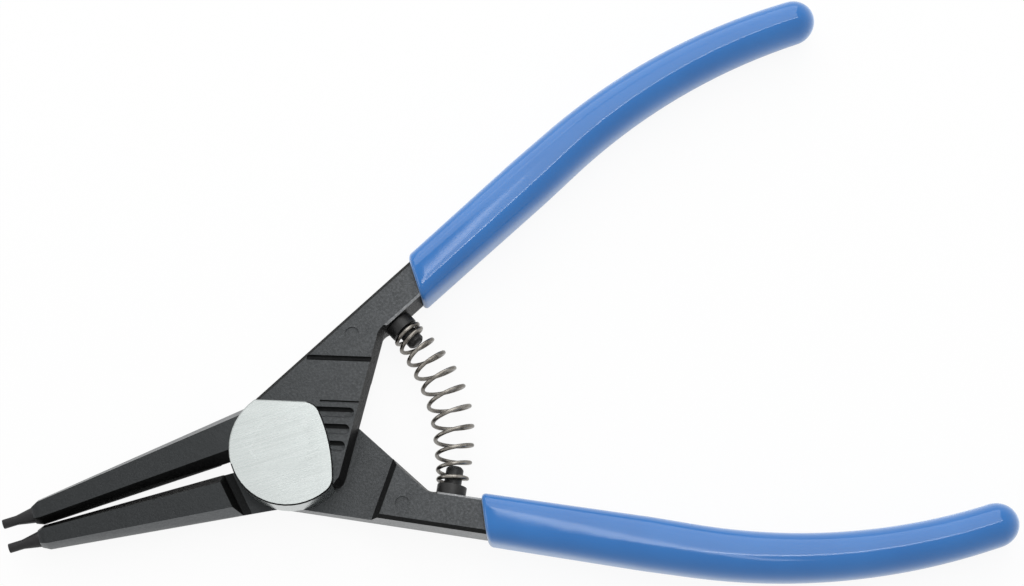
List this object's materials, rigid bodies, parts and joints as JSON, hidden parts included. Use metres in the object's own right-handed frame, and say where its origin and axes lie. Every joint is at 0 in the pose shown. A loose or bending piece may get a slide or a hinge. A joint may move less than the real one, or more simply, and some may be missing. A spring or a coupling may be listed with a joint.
{
  "type": "circlip pliers",
  "caption": "Straight external circlip pliers: two lapped forged levers on a flush rivet, pin tips, barrel opening spring and dipped handle grips.",
  "frame": {"origin": "on the pivot axis, on the plane that the pliers lie on", "axes": "+X along the pliers from the tips to the handles, +Y towards the upper lever, +Z along the rivet out of the face that the picture shows"},
  "size_m": [0.1816, 0.1147, 0.011],
  "materials": {
    "forged_steel": "blackened drop forging with fine grain, bosses ground bright",
    "ground_steel": "ground flush with the boss, satin",
    "tip_steel": "blackened, hardened",
    "grip_vinyl": "glossy dipped vinyl",
    "stud_steel": "blackened",
    "spring_steel": "drawn wire with an oil film"
  },
  "bodies": {
    "lower": {"lower_lever": "forged_steel", "pivot_rivet": "ground_steel", "lower_tip": "tip_steel", "lower_grip": "grip_vinyl", "lower_spring_stud": "stud_steel", "opening_spring": "spring_steel"},
    "upper": {"upper_lever": "forged_steel", "upper_tip": "tip_steel", "upper_grip": "grip_vinyl", "upper_spring_stud": "stud_steel"}
  },
  "joints": [
    {"name": "lever_pivot", "type": "hinge", "parent": "lower", "child": "upper", "pos_m": [0, 0, 0.0055], "axis": [0, 0, -1], "range_deg": [0, 28], "stiffness_Nm_per_rad": 0.8, "springref_deg": -28.65, "deforming": ["opening_spring"]}
  ]
}
